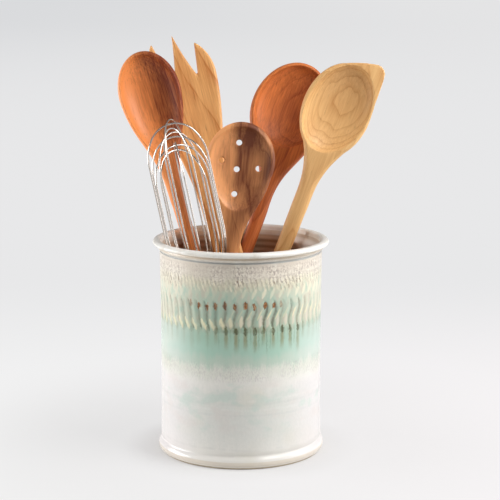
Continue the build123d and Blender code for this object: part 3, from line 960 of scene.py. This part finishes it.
def carve(node, slot, material, grain_size, softness):
    """A wooden utensil with its edges worn soft."""
    piece = bpy.data.objects.new(node, nodes[node].data.copy())
    bpy.context.collection.objects.link(piece)
    bpy.context.view_layer.objects.active = piece
    piece.select_set(True)
    bpy.ops.object.mode_set(mode="EDIT")
    bpy.ops.mesh.select_all(action="SELECT")
    bpy.ops.mesh.remove_doubles(threshold=0.001 * mm)
    bpy.ops.object.mode_set(mode="OBJECT")
    remesh = piece.modifiers.new("even", "REMESH")
    remesh.mode = "VOXEL"
    remesh.voxel_size = grain_size
    bpy.ops.object.modifier_apply(modifier=remesh.name)
    smooth = piece.modifiers.new("soft", "SMOOTH")
    smooth.factor = 0.5
    smooth.iterations = softness
    bpy.ops.object.modifier_apply(modifier=smooth.name)
    bpy.ops.object.shade_smooth()
    finish_piece(piece, "carved_" + node, nodes[node]["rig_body"], slot, material, node)


def finish_whisk():
    """Bright wires and a satin tube on the whisk's own solids."""
    bright_wire = steel("whisk_wire", srgb(214, 207, 200), rough=0.12, brushed=0.01)
    satin_tube = steel("whisk_tube", srgb(196, 196, 198), rough=0.28, brushed=0.3)
    for node, piece in nodes.items():
        if node.startswith("whisk"):
            wire = node.startswith("whisk_loop") or node == "whisk_hanger"
            piece.data.materials.clear()
            piece.data.materials.append(bright_wire if wire else satin_tube)


throw_crock()
carve("left_cherry_spoon", "cherry_wood", cherry, grain_size=0.75 * mm, softness=5)
carve("right_cherry_spoon", "cherry_wood_dark", dark_cherry, grain_size=0.75 * mm, softness=5)
carve("wooden_fork", "fork_wood", golden_wood, grain_size=0.75 * mm, softness=4)
carve("slotted_spoon", "walnut_wood", walnut, grain_size=0.7 * mm, softness=4)
carve("corner_spoon", "maple_wood", maple, grain_size=0.75 * mm, softness=6)
finish_whisk()


# Studio: a pale floor, a soft lamp at each side, one above, and a small one at the upper right in front
def painted_floor_light(tree, x, y):
    """The floor's glow with painted light: paler in front than at the back, and paler on the right than on
    the left.
    """
    near = tree.mix(tree.between(x, -0.35, 0.35), srgb(243, 243, 243), srgb(248, 245, 246))
    far = tree.mix(tree.between(x, -1.6, 1.6), srgb(218, 219, 221), srgb(228, 228, 229))
    colour = tree.mix(tree.between(y, 0.0, 0.75), near, srgb(232, 232, 233))
    return tree.mix(tree.between(y, 1.0, 8.0), colour, far)


def lay_floor():
    """A floor that shows a plain colour far out, and more of the crock's shadow the nearer it is."""
    bpy.ops.mesh.primitive_plane_add(size=60, location=(0, 0, -0.2 * mm))
    floor = bpy.context.object
    floor.name = "studio_floor"
    material = bpy.data.materials.new("pale_floor")
    material.use_nodes = True
    material.node_tree.nodes.clear()
    tree = Tree(material.node_tree)
    x, y = tree.separate(tree.add("TexCoord").outputs["Object"])[:2]
    paper = tree.add("BsdfDiffuse", Color=srgb(226, 225, 224))
    glow = tree.add("Emission", Color=painted_floor_light(tree, x, y), Strength=1.0)

    # The camera sees the plain colour, also in a mirror and through glass. Other light meets the paper.
    light = tree.add("LightPath").outputs
    seen = tree.math("MAXIMUM", light["Is Camera Ray"], light["Is Glossy Ray"])
    seen = tree.math("MAXIMUM", seen, light["Is Transmission Ray"])

    distance = tree.from_axis(x, y)
    beside_foot = tree.between(distance, 0.068, 0.105, 0.45, 0.73)
    farther_out = tree.between(distance, 0.1, 0.34, 0.0, 0.27)
    plain = tree.times(tree.plus(beside_foot, farther_out), seen)
    mixed = tree.add("MixShader", Fac=plain)
    tree.put(paper.outputs[0], mixed.inputs[1])
    tree.put(glow.outputs[0], mixed.inputs[2])
    output = tree.add("OutputMaterial")
    tree.put(mixed.outputs[0], output.inputs[0])
    floor.data.materials.append(material)
    floor.select_set(False)


def light_room():
    """An even grey room that is brighter at its two sides."""
    world = bpy.data.worlds.new("studio")
    bpy.context.scene.world = world
    world.use_nodes = True
    tree = Tree(world.node_tree)
    background = world.node_tree.nodes["Background"]
    x = tree.separate(tree.add("TexCoord").outputs["Generated"])[0]
    sides = tree.between(tree.math("ABSOLUTE", x), 0.3, 0.95)
    tree.put(tree.times_plus(sides, 0.4, 0.12), background.inputs["Strength"])
    background.inputs["Color"].default_value = (1, 1, 1, 1)


def soft_lamp(name, place, aim, width, height, power):
    """A flat lamp that points at a place on the object."""
    bpy.ops.object.light_add(type="AREA", location=place)
    lamp = bpy.context.object
    lamp.name = name
    lamp.data.shape = "RECTANGLE"
    lamp.data.size = width
    lamp.data.size_y = height
    lamp.data.energy = power
    lamp.rotation_euler = (Vector(aim) - Vector(place)).to_track_quat("-Z", "Y").to_euler()
    lamp.select_set(False)


lay_floor()
light_room()
soft_lamp("right_lamp", (1.2, 0.02, 0.45), aim=(0, 0, 0.13), width=0.7, height=0.8, power=7)
soft_lamp("left_lamp", (-1.25, 0.1, 0.25), aim=(0, 0, 0.08), width=0.8, height=0.5, power=13)
soft_lamp("top_lamp", (0.0, 0.1, 1.5), aim=(0, 0, 0.2), width=0.9, height=0.9, power=1.5)
soft_lamp("key_lamp", (0.5, -0.33, 0.75), aim=(0, 0, 0.29), width=0.4, height=0.4, power=4.8)

# Camera: the photograph's height, distance, pitch and width of view
camera_place = (7.6 * mm, -1337.3 * mm, 416.9 * mm)
camera_pitch = radians(79.437)
bpy.ops.object.camera_add(location=camera_place, rotation=(camera_pitch, 0, 0))
camera = bpy.context.object
camera.data.sensor_width = 36
camera.data.lens = 118.5
bpy.context.scene.camera = camera
